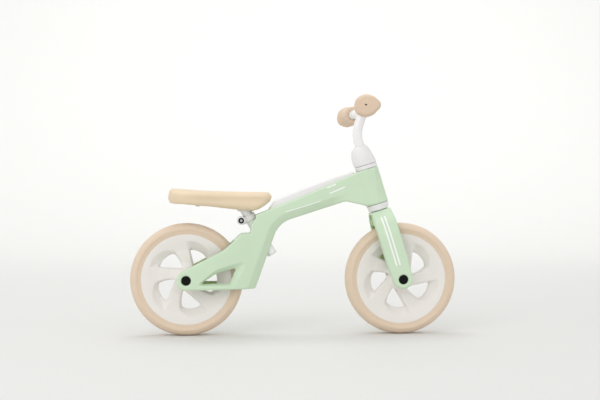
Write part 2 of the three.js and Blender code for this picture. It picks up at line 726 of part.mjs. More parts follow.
// ---- The whole bike ----
const bike = new THREE.Group();
bike.add(frameGroup(), headSet(), seatTubeSet(), saddleSet(), steeringSet());
bike.add(gripPiece(-1), gripPiece(1));
bike.add(wheel('front', wheelbase / 2, frontWindowTurn), wheel('rear', -wheelbase / 2, rearWindowTurn));
bike.add(axleSet('front', wheelbase / 2), axleSet('rear', -wheelbase / 2));

export default bike;
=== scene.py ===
"""The looks of a toddler's balance bike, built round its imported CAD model.

Lengths are in millimetres unless a comment says otherwise. +X is forward, +Y is the rider's left, +Z is up.
"""
import json
import math

import bmesh
import bpy
import numpy as np

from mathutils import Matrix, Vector


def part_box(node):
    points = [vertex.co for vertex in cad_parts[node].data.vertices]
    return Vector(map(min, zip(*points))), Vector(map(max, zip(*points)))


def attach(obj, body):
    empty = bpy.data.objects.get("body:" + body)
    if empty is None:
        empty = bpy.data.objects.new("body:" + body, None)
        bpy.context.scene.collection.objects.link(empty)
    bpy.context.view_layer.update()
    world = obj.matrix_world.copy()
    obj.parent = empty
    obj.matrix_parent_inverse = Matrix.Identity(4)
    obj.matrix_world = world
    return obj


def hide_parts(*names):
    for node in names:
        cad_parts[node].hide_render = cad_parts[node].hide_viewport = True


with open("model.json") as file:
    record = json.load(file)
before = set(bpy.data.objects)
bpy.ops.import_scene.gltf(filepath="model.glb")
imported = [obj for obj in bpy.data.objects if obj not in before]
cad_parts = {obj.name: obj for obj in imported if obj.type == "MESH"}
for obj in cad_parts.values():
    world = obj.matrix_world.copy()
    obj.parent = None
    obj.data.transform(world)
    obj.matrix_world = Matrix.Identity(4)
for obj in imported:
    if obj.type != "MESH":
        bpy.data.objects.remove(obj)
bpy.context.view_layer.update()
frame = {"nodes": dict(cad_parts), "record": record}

MM = 0.001  # metres in a millimetre
RIGHT, LEFT = -1, 1
SIDES = {"right": RIGHT, "left": LEFT}


def box_mm(node):
    low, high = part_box(node)
    return np.array(low) / MM, np.array(high) / MM


def centre_mm(node):
    low, high = box_mm(node)
    return (low + high) / 2


# ---- Driving sizes, from the CAD model ----
FRONT_AXLE = centre_mm("front_tyre")
REAR_AXLE = centre_mm("rear_tyre")
TYRE_RADIUS = box_mm("front_tyre")[1][2] - FRONT_AXLE[2]
TYRE_HALF_WIDTH = box_mm("front_tyre")[1][1]
LEG_INNER = 32.0  # inner face of a fork leg or a stay, from the mid-plane
LEG_OUTER = box_mm("fork")[1][1]
BOLT_RADIUS = (box_mm("front_bolt_right")[1][0] - box_mm("front_bolt_right")[0][0]) / 2
BOLT_TOP = box_mm("front_bolt_left")[1][1]
BOLT_RECESS = {"floor": 46, "radius": 10.6, "chamfer": 2, "hole": 4.3}  # the floor counts from the mid-plane
STEERING_TILT = math.radians(17)
SEAT_TILT = math.radians(32)
SEAT_FOOT = np.array([-48.3, 0, 179.6])  # lower end of the seat post
HEAD = {"radius": 25.5, "bore": 19.3, "from": 176, "to": 258}  # heights up the steering axis from the axle
GAP = 0.3  # clear room between fitted pieces
NO_CUT = -400  # a distance so deep inside that it takes nothing away


# ---- Signed distances: negative inside a solid, positive outside ----
def both(a, b, radius=0.0):
    """The part that two solids share, with its edges rounded."""
    outside = np.hypot(np.maximum(a + radius, 0), np.maximum(b + radius, 0))
    return np.minimum(np.maximum(a, b) + radius, 0) + outside - radius


def join(a, b, radius=0.0):
    return -both(-a, -b, radius)


def cut(a, b, radius=0.0):
    return both(a, -b, radius)


def between(value, low, high):
    """Signed distance to the layer between two levels."""
    return abs(value - (low + high) / 2) - (high - low) / 2


def near(chain, *where):
    """Distance from each place to a chain of straight pieces, in a plane or in space."""
    best = np.inf
    for start, end in zip(chain[:-1], chain[1:]):
        run = np.subtract(end, start)
        offset = [place - value for place, value in zip(where, start)]
        share = sum(o * r for o, r in zip(offset, run)) / max(run @ run, 1e-9)
        share = np.clip(share, 0, 1)
        best = np.minimum(best, sum((o - share * r) ** 2 for o, r in zip(offset, run)))
    return np.sqrt(best)


def inside(outline, a, b):
    """Signed distance to a closed flat outline."""
    loop = np.vstack([outline, outline[:1]])
    odd = np.zeros(np.broadcast(a, b).shape, bool)
    for (a0, b0), (a1, b1) in zip(loop[:-1], loop[1:]):
        if b0 != b1:
            odd ^= ((b0 <= b) != (b1 <= b)) & (a < a0 + (b - b0) * (a1 - a0) / (b1 - b0))
    return np.where(odd, -1, 1) * near(loop, a, b)


def rounded(corners, closed=True):
    """An outline through corners of (a, b, radius), each turned by an arc of that radius."""
    points = []
    spots = [np.array(corner[:2], float) for corner in corners]
    last = len(corners) - 1
    for index, (_, _, radius) in enumerate(corners):
        here, before, after = spots[index], spots[index - 1], spots[(index + 1) % (last + 1)]
        if radius == 0 or (not closed and index in (0, last)):
            points.append(here)
            continue
        back, on = before - here, after - here
        room = 0.49 * min(np.linalg.norm(back), np.linalg.norm(on))
        back, on = back / np.linalg.norm(back), on / np.linalg.norm(on)
        half = math.acos(np.clip(back @ on, -1, 1)) / 2
        reach = min(radius / math.tan(half), room)
        middle = here + (back + on) / np.linalg.norm(back + on) * reach / math.cos(half)
        start, end = here + back * reach - middle, here + on * reach - middle
        turn = math.pi - 2 * half
        for share in np.linspace(0, 1, max(3, math.ceil(turn / math.radians(7)))):
            blend = math.sin((1 - share) * turn) * start + math.sin(share * turn) * end
            points.append(middle + blend / math.sin(turn))
    return np.array(points)


def eased(x, stations, blur=10.0):
    """A size that changes smoothly between stations of (place, size)."""
    place, size = np.array(sorted(stations), float).T
    return np.mean([np.interp(x + shift, place, size) for shift in np.linspace(-blur, blur, 7)], axis=0)


def bezier(start, first, second, end, steps=12):
    share = np.linspace(0, 1, steps + 1)[:, None]
    rest = 1 - share
    start, first, second, end = map(np.array, (start, first, second, end))
    return rest**3 * start + 3 * rest**2 * share * first + 3 * rest * share**2 * second + share**3 * end


class Moulding:
    """A solid known by its signed distance at evenly spaced points in a box."""

    def __init__(self, distance, low, high, step):
        self.step = step
        self.origin = np.array(low) - 2.6 * step
        axes = [np.arange(a, b + 3 * step, step) for a, b in zip(self.origin, high)]
        grid = np.meshgrid(*axes, indexing="ij", sparse=True)
        self.values = distance(*grid) + np.zeros([len(axis) for axis in axes])

    def at(self, points):
        """The distance at any points, between the sampled ones."""
        spots = (points - self.origin) / self.step
        spots = np.clip(spots, 0, np.array(self.values.shape) - 1.001)
        base = np.floor(spots).astype(int)
        part = spots - base
        total = 0
        for corner in np.ndindex(2, 2, 2):
            weight = np.prod(np.where(corner, part, 1 - part), axis=1)
            total = total + weight * self.values[tuple((base + corner).T)]
        return total

    def slope(self, points):
        reach = 0.8 * self.step
        shifts = reach * np.eye(3)
        rise = [(self.at(points + shift) - self.at(points - shift)) / (2 * reach) for shift in shifts]
        return np.stack(rise, axis=1)

    def skin(self):
        """The solid's surface, one vertex to each cell that it crosses: vertices, normals and faces."""
        cells = np.array(self.values.shape) - 1
        owners, spots, rings = [], [], []
        for axis in range(3):
            across = [(axis + 1) % 3, (axis + 2) % 3]
            low = np.take(self.values, range(cells[axis]), axis)
            high = np.take(self.values, range(1, cells[axis] + 1), axis)
            crossed = (low < 0) != (high < 0)
            spot = np.argwhere(crossed)
            low, high = low[crossed], high[crossed]
            place = spot.astype(float)
            place[:, axis] += low / (low - high)
            ring = []
            for first, second in ((1, 1), (0, 1), (0, 0), (1, 0)):
                cell = spot.copy()
                cell[:, across[0]] -= first
                cell[:, across[1]] -= second
                ring.append(np.ravel_multi_index(cell.T, cells))
                spots.append(place)
            owners.extend(ring)
            ring = np.stack(ring, axis=1)
            rings.append(np.where((low < 0)[:, None], ring, ring[:, ::-1]))
        owners, spots = np.concatenate(owners), np.concatenate(spots)
        used, index = np.unique(owners, return_inverse=True)
        share = np.bincount(index)[:, None]
        vertices = np.stack([np.bincount(index, weights=spots[:, k]) for k in range(3)], axis=1) / share
        vertices = self.origin + vertices * self.step
        faces = np.searchsorted(used, np.concatenate(rings))
        slope = self.slope(vertices)
        steep = np.maximum((slope**2).sum(axis=1), 0.3)
        move = np.clip(self.at(vertices) / steep, -0.3 * self.step, 0.3 * self.step)
        vertices = vertices - move[:, None] * slope
        normals = self.slope(vertices)
        return vertices, normals / np.maximum(np.linalg.norm(normals, axis=1), 1e-6)[:, None], faces

    def outer_face(self, x, z):
        """How far out along Y the surface lies at each (x, z)."""
        top = self.origin[1] + self.step * (self.values.shape[1] - 1)
        reaches = np.arange(top, 0, -0.5)
        points = np.array([[a, reach, b] for a, b in zip(x, z) for reach in reaches])
        distance = self.at(points).reshape(len(x), len(reaches))
        first = np.argmax(distance < 0, axis=1)
        rows = np.arange(len(x))
        above, below = distance[rows, first - 1], distance[rows, first]
        return reaches[first - 1] - 0.5 * above / (above - below)


# ---- Pieces ----
def tilted(foot, angle):
    """Carries points that are turned about Y, forward to up, and moved to a foot."""
    turn = np.array([
        [math.cos(angle), 0, -math.sin(angle)],
        [0, 1, 0],
        [math.sin(angle), 0, math.cos(angle)],
    ])
    return lambda points, shift=True: points @ turn.T + (foot if shift else 0)


STEERING = tilted(FRONT_AXLE, STEERING_TILT)
SEAT = tilted(SEAT_FOOT, SEAT_TILT)


def moved(foot, angle=0.0):
    """Carries points turned about the vertical and moved to a foot."""
    turn = np.array([
        [math.cos(angle), -math.sin(angle), 0],
        [math.sin(angle), math.cos(angle), 0],
        [0, 0, 1],
    ])
    return lambda points, shift=True: points @ turn.T + (np.array(foot) if shift else 0)


def piece(name, body, slot, vertices, faces, normals=None, replaces=(), look=None):
    mesh = bpy.data.meshes.new(name)
    mesh.from_pydata((vertices * MM).tolist(), [], [list(face) for face in faces])
    mesh.polygons.foreach_set("use_smooth", np.ones(len(mesh.polygons), bool))
    if normals is not None:
        mesh.normals_split_custom_set_from_vertices(normals.tolist())
    mesh.materials.append(looks[look or slot])
    made = bpy.data.objects.new(name, mesh)
    bpy.context.scene.collection.objects.link(made)
    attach(made, body)
    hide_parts(*replaces)
    return made


AT_ORIGIN = moved((0, 0, 0))


def moulded(name, body, slot, moulding, place=AT_ORIGIN, mirrored=False, replaces=(), shade_faces=None):
    """A piece with a moulding's skin. A mirrored one is its twin on the other side.

    The last argument tells which faces, from their middles and normals, take a darker green of painted
    shade.
    """
    vertices, normals, faces = moulding.skin()
    if mirrored:
        vertices[:, 1] *= -1
        normals[:, 1] *= -1
        faces = faces[:, ::-1]
    made = piece(name, body, slot, place(vertices), faces, place(normals, shift=False), replaces)
    if shade_faces:
        # These faces take the darker green of painted shade
        made.data.materials.append(looks["shade_painted_green"])
        painted_shade = shade_faces(vertices[faces].mean(axis=1), normals[faces].mean(axis=1))
        made.data.polygons.foreach_set("material_index", painted_shade.astype(int))
    return made


def turn_outwards(made):
    """Makes every face of a closed piece look outwards."""
    shaped = bmesh.new()
    shaped.from_mesh(made.data)
    bmesh.ops.recalc_face_normals(shaped, faces=shaped.faces)
    shaped.to_mesh(made.data)
    shaped.free()


def turned(name, body, slot, profile, place, axis="z", turns=96, replaces=()):
    """A piece turned from a closed profile of (radius, height).

    A row of points close to each corner keeps the flats between the corners flat.
    """
    rows, row_gap = [], 0.15
    for start, end in zip(profile, np.roll(profile, -1, axis=0)):
        run = end - start
        length = np.linalg.norm(run)
        rows.append(start)
        if length > 1:
            rows.extend([start + run * row_gap / length, end - run * row_gap / length])
    rows = np.array(rows)
    angle = np.linspace(0, 2 * math.pi, turns, endpoint=False)
    radius, height = rows[:, :1], np.repeat(rows[:, 1:], turns, axis=1)
    flat = [radius * np.cos(angle), radius * np.sin(angle), height]
    order = [0, 1, 2] if axis == "z" else [0, 2, 1]
    vertices = np.stack([flat[k] for k in order], axis=2).reshape(-1, 3)
    faces = []
    for row in range(len(rows)):
        below, above = row * turns, (row + 1) % len(rows) * turns
        for k in range(turns):
            on = (k + 1) % turns
            faces.append([below + k, below + on, above + on, above + k])
    turn_outwards(piece(name, body, slot, place(vertices), faces, replaces=replaces))


# ---- Materials ----
def linear(red, green, blue):
    """A display colour of 0 to 255 as the linear light that a shader takes."""
    return tuple(((c / 255 + 0.055) / 1.055) ** 2.4 for c in (red, green, blue)) + (1,)


def scaled(colour, amount):
    return tuple(min(c * amount, 1) for c in colour[:3]) + (1,)


class Look:
    """A procedural material: colour drift, edges lightened partly as wear and partly as a painted highlight,
    uneven gloss and a fine grain.
    """

    def __init__(self, name, colour, roughness, drift=0.04, drift_mm=45, metallic=0.0, coat=0.0):
        self.material = bpy.data.materials.new(name)
        self.material.use_nodes = True
        self.nodes = self.material.node_tree.nodes
        self.links = self.material.node_tree.links
        self.shader = self.nodes["Principled BSDF"]
        self.shader.inputs["Metallic"].default_value = metallic
        self.shader.inputs["Coat Weight"].default_value = coat
        self.shader.inputs["Coat Roughness"].default_value = 0.12
        self.place = self.nodes.new("ShaderNodeTexCoord").outputs["Object"]
        tone = self.noise(drift_mm, detail=3)
        self.colour = self.blend(tone, scaled(colour, 1 - drift), scaled(colour, 1 + drift))
        self.gloss = self.spread(self.noise(9, detail=4), roughness - 0.07, roughness + 0.07)
        self.height = None

    def noise(self, size_mm, detail=2, stretch=None):
        """Soft noise from 0 to 1, with features of about that size."""
        node = self.nodes.new("ShaderNodeTexNoise")
        node.inputs["Scale"].default_value = 1 / (size_mm * MM)
        node.inputs["Detail"].default_value = detail
        place = self.place
        if stretch:
            mapping = self.nodes.new("ShaderNodeMapping")
            mapping.inputs["Scale"].default_value = stretch
            self.links.new(self.place, mapping.inputs["Vector"])
            place = mapping.outputs["Vector"]
        self.links.new(place, node.inputs["Vector"])
        return node.outputs["Fac"]

    def pores(self, size_mm):
        """Closed cells of about that size, from 0 at a cell's middle."""
        node = self.nodes.new("ShaderNodeTexVoronoi")
        node.inputs["Scale"].default_value = 1 / (size_mm * MM)
        self.links.new(self.place, node.inputs["Vector"])
        return node.outputs["Distance"]

    def spread(self, value, low, high, start=0.3, end=0.7):
        node = self.nodes.new("ShaderNodeMapRange")
        node.inputs["From Min"].default_value = start
        node.inputs["From Max"].default_value = end
        node.inputs["To Min"].default_value = low
        node.inputs["To Max"].default_value = high
        self.links.new(value, node.inputs["Value"])
        return node.outputs["Result"]

    def blend(self, share, first, second):
        """Mixes two colours, or a socket and a colour."""
        node = self.nodes.new("ShaderNodeMix")
        node.data_type = "RGBA"
        sockets = [socket for socket in node.inputs if socket.type == "RGBA"]
        for socket, colour in zip(sockets, (first, second)):
            if isinstance(colour, tuple):
                socket.default_value = colour
            else:
                self.links.new(colour, socket)
        factor = next(socket for socket in node.inputs if socket.name == "Factor" and socket.type == "VALUE")
        self.links.new(share, factor)
        return next(socket for socket in node.outputs if socket.type == "RGBA")

    def edge_wear_and_highlight(self, colour, amount=0.5):
        """Lightens the convex edges: partly where hands and floors rub, partly a painted highlight."""
        shape = self.nodes.new("ShaderNodeNewGeometry").outputs["Pointiness"]
        edge = self.spread(shape, 0, amount, 0.51, 0.6)
        self.colour = self.blend(edge, self.colour, colour)

    def grain(self, value, depth_mm):
        """Adds a relief of that depth over the surface."""
        bump = self.nodes.new("ShaderNodeBump")
        bump.inputs["Distance"].default_value = depth_mm * MM
        bump.inputs["Strength"].default_value = 1.0
        self.links.new(value, bump.inputs["Height"])
        if self.height:
            self.links.new(self.height, bump.inputs["Normal"])
        self.height = bump.outputs["Normal"]

    def speckle(self, value, colour, low, high, amount):
        """Flecks of another colour where a pattern runs from low to high."""
        self.colour = self.blend(self.spread(value, 0, amount, low, high), self.colour, colour)

    def done(self):
        self.links.new(self.colour, self.shader.inputs["Base Color"])
        self.links.new(self.gloss, self.shader.inputs["Roughness"])
        if self.height:
            self.links.new(self.height, self.shader.inputs["Normal"])
        return self.material


GREEN = linear(203, 224, 196)
OFF_WHITE = linear(234, 232, 232)
RIM_WHITE = linear(234, 230, 225)
BAR_WHITE = linear(241, 240, 240)
LINE_WHITE = linear(250, 250, 248)
TYRE_BEIGE = linear(223, 202, 179)
SADDLE_BEIGE = linear(229, 209, 179)
GRIP_BEIGE = linear(220, 196, 172)
GREY = linear(230, 229, 228)
STEEL = linear(190, 192, 195)
BLACK = linear(9, 11, 9)
# Painted shade: a darker olive green for faces that look at the wheel, lie in hollows or face down over a
# tyre
SHADE_PAINTED_GREEN = linear(162, 184, 124)
FLOOR_GREY = linear(223, 223, 221)


def plastic(name, colour, roughness):
    """Moulded plastic: a fine sparked grain over slow waves, with edges lightened, partly rubbed pale and
    partly a painted highlight.
    """
    look = Look(name, colour, roughness, drift=0.015)
    look.edge_wear_and_highlight(scaled(colour, 1.12), 0.35)
    look.grain(look.noise(0.9, detail=3), 0.012)
    look.grain(look.noise(26), 0.05)
    return look.done()


def paint(name, colour):
    """Glossy powder coat over steel, with its faint orange peel."""
    look = Look(name, colour, 0.3, drift=0.01, coat=0.6)
    look.grain(look.noise(2.2), 0.002)
    return look.done()


def foam(name, colour, roughness, cell_mm, depth_mm):
    """Closed-cell foam with a moulded skin: fine cells, faint flecks and a soft sheen."""
    look = Look(name, colour, roughness, drift=0.035, drift_mm=38)
    cells = look.pores(cell_mm)
    look.speckle(look.noise(1.6, detail=4), scaled(colour, 0.86), 0.6, 0.72, 0.4)
    # Lighter convex edges: partly wear, partly a painted highlight
    look.edge_wear_and_highlight(scaled(colour, 1.1), 0.3)
    look.grain(cells, depth_mm)
    look.grain(look.noise(12, detail=4), 0.12)
    look.shader.inputs["Sheen Weight"].default_value = 0.12
    look.shader.inputs["Sheen Roughness"].default_value = 0.5
    return look.done()


def metal(name, colour, roughness):
    """Plated steel, with the fine lines of its drawing and bright edges, partly wear and partly a painted
    highlight.
    """
    look = Look(name, colour, roughness, drift=0.05, drift_mm=12, metallic=1.0)
    look.edge_wear_and_highlight(scaled(colour, 1.5), 0.5)
    look.grain(look.noise(0.5, detail=3, stretch=(1, 6, 1)), 0.008)
    return look.done()


def black_steel(name):
    """Blackened steel, nearly without gloss."""
    look = Look(name, BLACK, 0.45, drift=0.1, drift_mm=6)
    # Lighter convex edges: partly wear, partly a painted highlight
    look.edge_wear_and_highlight(scaled(BLACK, 3), 0.3)
    look.grain(look.noise(0.4, detail=3), 0.01)
    look.shader.inputs["Specular IOR Level"].default_value = 0.14
    return look.done()


looks = {
    "green_frame": plastic("green_frame", GREEN, 0.42),
    "green_fork": plastic("green_fork", GREEN, 0.42),
    "white_trim": plastic("white_trim", OFF_WHITE, 0.4),
    "rim_plastic": plastic("rim_plastic", RIM_WHITE, 0.5),
    "grey_plastic": plastic("grey_plastic", GREY, 0.4),
    "white_bar": paint("white_bar", BAR_WHITE),
    "foam_tyre": foam("foam_tyre", TYRE_BEIGE, 0.78, 0.8, 0.05),
    "beige_grip": foam("beige_grip", GRIP_BEIGE, 0.7, 0.6, 0.03),
    "beige_saddle": foam("beige_saddle", SADDLE_BEIGE, 0.62, 0.7, 0.03),
    "zinc_steel": metal("zinc_steel", STEEL, 0.34),
    "black_bolt": black_steel("black_bolt"),
    # painted shade for faces toward the wheel and in hollows
    "shade_painted_green": plastic("shade_painted_green", SHADE_PAINTED_GREEN, 0.6),
    "painted_line": plastic("painted_line", LINE_WHITE, 0.45),
}
slot_of = {subpart["node"]: subpart["material_slot"] for subpart in frame["record"]["subparts"]}
for node, shape in frame["nodes"].items():
    shape.data.materials.clear()
    shape.data.materials.append(looks[slot_of[node]])


# ---- Shared shapes ----
def bolt_recess(from_axle, out):
    """The hole, the counterbore and its chamfered mouth for an axle bolt, `out` from the mid-plane."""
    hole = both(from_axle - BOLT_RECESS["hole"], -out)
    counterbore = both(from_axle - BOLT_RECESS["radius"], BOLT_RECESS["floor"] - out)
    mouth_from = LEG_OUTER - BOLT_RECESS["chamfer"]
    chamfer = (from_axle - BOLT_RECESS["radius"] - (out - mouth_from)) * math.sqrt(0.5)
    return join(hole, join(counterbore, both(chamfer, mouth_from - out)))


def screw_head(radius, height, socket, name, body, slot, place, replaces):
    """A low domed head on the -Y side, with a hexagonal or a cross-shaped socket sunk in it."""
    hex_reach, cross_reach, cross_half = radius * 0.42, radius * 0.588, radius * 0.13
    dome_rise, socket_floor, solid_below = 0.012, height * 0.35, 9

    def distance(x, y, z):
        from_axis = np.hypot(x, z)
        dome = -y - height + dome_rise * from_axis**2
        head = both(both(from_axis - radius, dome, 0.25 * height), y)
        if socket == "hex":
            angle = np.linspace(0, 2 * math.pi, 6, endpoint=False)
            sunk = inside(hex_reach * np.stack([np.cos(angle), np.sin(angle)], axis=1), x, z)
        else:
            level = both(abs(x) - cross_reach, abs(z) - cross_half)
            sunk = np.minimum(level, both(abs(z) - cross_reach, abs(x) - cross_half))
        above = both(sunk, -y - height - 1) + np.where(-y < socket_floor, solid_below, 0)
        return cut(head, above, 0.15)

    step = radius / 16
    low, high = (-radius, -height, -radius), (radius, 0, radius)
    moulded(name, body, slot, Moulding(distance, low, high, step), place, replaces=replaces)


# ---- Frame ----
SHELL_SIDE = rounded([
    (-87, 268.3, 3), (12, 307.3, 200), (150, 367, 4), (180, 372, 4), (190, 294, 4), (163, 288.5, 3),
    (116, 299, 24), (80, 287, 60), (-35, 250, 58), (-87.5, 104.5, 4), (-261, 104, 21),
    (-261, 138.5, 21), (-157, 191.5, 70), (-119, 226.8, 5), (-98, 227.3, 4), (-97.5, 247, 8), (-87, 260, 4),
])
SHELL_WIDTHS = [(215, 25.5), (0, 26), (-50, 28), (-90, 33), (-130, 44), (-170, 51), (-210, 54), (-265, 54)]
BAND_EDGE = rounded([
    (-94.7, 84.5, 0), (-35, 250, 58), (80, 287, 60), (116, 299, 24), (163, 288.5, 0),
], closed=False)
BAND = {"width": 17.3, "depth": 12.5}
BAND_DEPTHS = [(-120, BAND["depth"]), (85, BAND["depth"]), (112, 3), (126, 0)]
WINDOW_MOUTH = rounded([
    (-217, 113.3, 3), (-175, 148.5, 60), (-127, 162.3, 60), (-109.5, 164.3, 4), (-119, 141, 50),
    (-136.5, 112.3, 3),
])
WINDOW_THROAT = rounded([
    (-209, 117.3, 2), (-173, 140.5, 50), (-131, 151.5, 3), (-138, 133, 50), (-145, 117.3, 3),
])
WINDOW_DEPTH = 11
HEAD_BACK = 120  # forward of it the frame ends level with the head's two ends
REAR_ROOM = 9  # clear room round the rear tyre
POST_HOLE = {"radius": 12.9, "from": -40, "wide_radius": 15.3, "wide_from": 90.7}  # heights up the seat post
SCREW_SPOTS = [(110, 330), (25, 291), (-52, 256), (-91, 190), (-92, 135)]
SCREW_HEAD = {"radius": 3.6, "height": 2.2}


def screw_floor(x):
    """How far from the mid-plane a frame screw's recess ends: further where the frame is wide."""
    return 22 if x > -60 else 27


def shell_distance(x, out, z):
    """Half of the frame, with `out` counted from the mid-plane."""
    half = eased(x, SHELL_WIDTHS)
    face = out - half
    depth = eased(x, BAND_DEPTHS)
    bevel = face + depth * (1 - near(BAND_EDGE, x, z) / BAND["width"])
    face = both(face, bevel * math.cos(math.atan(BAND["depth"] / BAND["width"])), 1.2)
    solid = both(inside(SHELL_SIDE, x, z), face, 3.5)
    up, across = axis_coordinates(x, z, FRONT_AXLE, STEERING_TILT)
    from_head = np.hypot(across, out)
    past_head_ends = between(up, HEAD["from"], HEAD["to"])
    solid = join(solid, both(from_head - HEAD["radius"], past_head_ends, 1.2), 5)
    solid = both(solid, np.where(x > HEAD_BACK, past_head_ends, NO_CUT), 1.2)
    from_rear = np.hypot(x - REAR_AXLE[0], z - REAR_AXLE[2])
    solid = cut(solid, both(from_rear - TYRE_RADIUS - REAR_ROOM, out - LEG_INNER), 3)
    throat = np.clip((half - out) / WINDOW_DEPTH, 0, 1)
    window = (1 - throat) * inside(WINDOW_MOUTH, x, z) + throat * inside(WINDOW_THROAT, x, z)
    solid = cut(solid, window, 1.2)
    solid = cut(solid, bolt_recess(from_rear, out), 0.8)
    solid = cut(solid, from_head - HEAD["bore"])
    up, across = axis_coordinates(x, z, SEAT_FOOT, SEAT_TILT)
    from_post = np.hypot(across, out)
    solid = cut(solid, both(from_post - POST_HOLE["radius"], POST_HOLE["from"] - up))
    solid = cut(solid, both(from_post - POST_HOLE["wide_radius"], POST_HOLE["wide_from"] - up))
    return both(solid, GAP / 2 - out)


def axis_coordinates(x, z, foot, tilt):
    """How far up a leaning axis, and how far forward of it, a place lies."""
    dx, dz = x - foot[0], z - foot[2]
    return dz * math.cos(tilt) - dx * math.sin(tilt), dx * math.cos(tilt) + dz * math.sin(tilt)


FACING = 0.6  # how squarely a face has to look one way to count


def beside_wheel(middles, normals):
    """The faces of a stay or a fork leg that look at the wheel, which take a darker green as painted shade.
    """
    out, facing = middles[:, 1], normals[:, 1]
    return (facing * np.sign(out) < -FACING) & (abs(out) > 20) & (abs(out) < LEG_INNER + 1)


def left_shell_distance(x, out, z):
    """The left half has a recess for each frame screw."""
    solid = shell_distance(x, out, z)
    for a, b in SCREW_SPOTS:
        recess = both(np.hypot(x - a, z - b) - SCREW_HEAD["radius"] - GAP, screw_floor(a) - out)
        solid = cut(solid, recess, 0.6)
    return solid


def make_frame():
    low, high = (-262, 0, 103), (216, LEG_OUTER, 381)
    right = Moulding(shell_distance, low, high, 1.5)
    left = Moulding(left_shell_distance, low, high, 1.5)
    moulded("right_frame_half", "frame", "green_frame", right, mirrored=True,
            replaces=["frame_shell_right"], shade_faces=beside_wheel)
    moulded("left_frame_half", "frame", "green_frame", left,
            replaces=["frame_shell_left"], shade_faces=beside_wheel)
    line = rounded([(-21, 274.8, 0), (14, 285.2, 200), (58, 299.4, 0)], closed=False)
    stripe("right_frame_line", "frame", right, RIGHT, line, 1.5)
    stripe("right_frame_dash_upper", "frame", right, RIGHT, [(72, 328), (92, 336.6)], 2.6)
    stripe("right_frame_dash_lower", "frame", right, RIGHT, [(78, 316), (112, 330.6)], 2.6)
    for number, (x, z) in enumerate(SCREW_SPOTS, 1):
        place = turned_over((x, screw_floor(x) + GAP, z))
        screw_head(SCREW_HEAD["radius"], SCREW_HEAD["height"], "cross", f"shell_screw_{number}",
                   "frame", "zinc_steel", place, [f"frame_screw_{number}"])


def turned_over(foot):
    """Turns a head that points to the right so that it points to the left."""
    return moved(foot, math.pi)


def make_top_cover():
    side = rounded([
        (-62, 275, 0), (12, 304, 200), (133.5, 357, 0), (133.5, 367, 2), (126, 364.6, 30), (80, 349.3, 60),
        (13, 324.2, 100), (-33, 305.8, 60), (-44, 301, 8), (-54, 287, 20),
    ])
    widths = [(-62, 8), (-52, 13), (-44, 17), (-30, 19.5), (134, 20)]

    def distance(x, y, z):
        return both(inside(side, x, z), abs(y) - eased(x, widths, 5), 4)

    made = Moulding(distance, (-62, -20, 275), (134, 20, 368), 1.2)
    moulded("top_strip", "frame", "white_trim", made, replaces=["top_cover"])


PAINT = {"edge": 0.04, "middle": 0.16, "depth": 0.5, "step": 2}  # how far a stripe stands proud and is sunk


def stripe(name, body, moulding, sign, line, width, place=AT_ORIGIN):
    """A thin painted line that follows a moulding's outer face along a line of (x, z)."""
    line = np.array(line, float)
    runs = np.concatenate([[0], np.cumsum(np.linalg.norm(np.diff(line, axis=0), axis=1))])
    steps = np.arange(0, runs[-1] + 1e-6, runs[-1] / math.ceil(runs[-1] / PAINT["step"]))
    centre = np.stack([np.interp(steps, runs, line[:, k]) for k in (0, 1)], axis=1)
    along = np.gradient(centre, axis=0)
    along /= np.linalg.norm(along, axis=1)[:, None]
    across = np.stack([-along[:, 1], along[:, 0]], axis=1)
    wide = 5  # points across the stripe
    columns = np.linspace(-0.5, 0.5, wide) * width
    flat = (centre[:, None] + across[:, None] * columns[None, :, None]).reshape(-1, 2)
    face = moulding.outer_face(flat[:, 0], flat[:, 1])
    edge = np.tile(abs(columns) > 0.49 * width, len(centre))
    edge[:wide] = edge[-wide:] = True
    sheets = [face + np.where(edge, PAINT["edge"], PAINT["middle"]), face - PAINT["depth"]]
    vertices = np.concatenate([np.stack([flat[:, 0], sign * sheet, flat[:, 1]], axis=1) for sheet in sheets])
    faces, count, rows = [], len(flat), len(centre)
    for row in range(rows - 1):
        for column in range(wide - 1):
            a = row * wide + column
            b = a + wide
            faces.append([a, a + 1, b + 1, b])
            faces.append([count + b, count + b + 1, count + a + 1, count + a])
    rim = [
        *range(wide), *range(2 * wide - 1, count, wide),
        *range(count - 2, count - wide - 1, -1), *range(count - 2 * wide, 0, -wide),
    ]
    for a, b in zip(rim, rim[1:] + rim[:1]):
        faces.append([b, a, count + a, count + b])
    turn_outwards(piece(name, body, "white_trim", place(vertices), faces, look="painted_line"))


# ---- Head rings, fork and stem, in steering coordinates ----
def make_rings():
    lower = rounded([(13, 162.3, 0), (22.8, 162.3, 1), (25, 175.6, 1), (13, 175.6, 0)])
    upper = rounded([(13, 258.4, 0), (25.5, 258.4, 0.8), (25.2, 266.9, 1.2), (13, 266.9, 0)])
    turned("lower_ring", "frame", "white_trim", lower, STEERING, replaces=["lower_head_ring"])
    turned("upper_ring", "frame", "white_trim", upper, STEERING, replaces=["upper_head_ring"])


FORK_SIDE = rounded([
    (-23, 162, 2), (-25, 128, 40), (-25, 40, 60), (-20.5, -20.5, 20.5), (20.5, -20.5, 20.5), (24, 40, 60),
    (24, 130, 40), (23, 162, 2),
])
FORK_FRONT = rounded([(0, 162, 0), (24, 162, 5), (47.5, 138, 22), (54, 104, 60), (54, -40, 0), (0, -40, 0)])
FORK_ROOM = 6  # clear room round the front tyre
STEERER_HOLE = {"radius": 13, "from": 139.7}
CROWN_BOTTOM = 135  # the crown's underside is nowhere higher
FORK_HOLLOW = {"half": 27, "from": 105, "to": 155, "x": -17, "depths": (-22.5, -13.5)}  # open at the back
FORK_RIB = {"middle": 15, "half": 1.5}
FORK_STRIPES = {"rear": -6.0, "front": 1.9}  # distances forward of the leg's middle
STRIPE = {"from": 33, "to": 147, "width": 3.3}


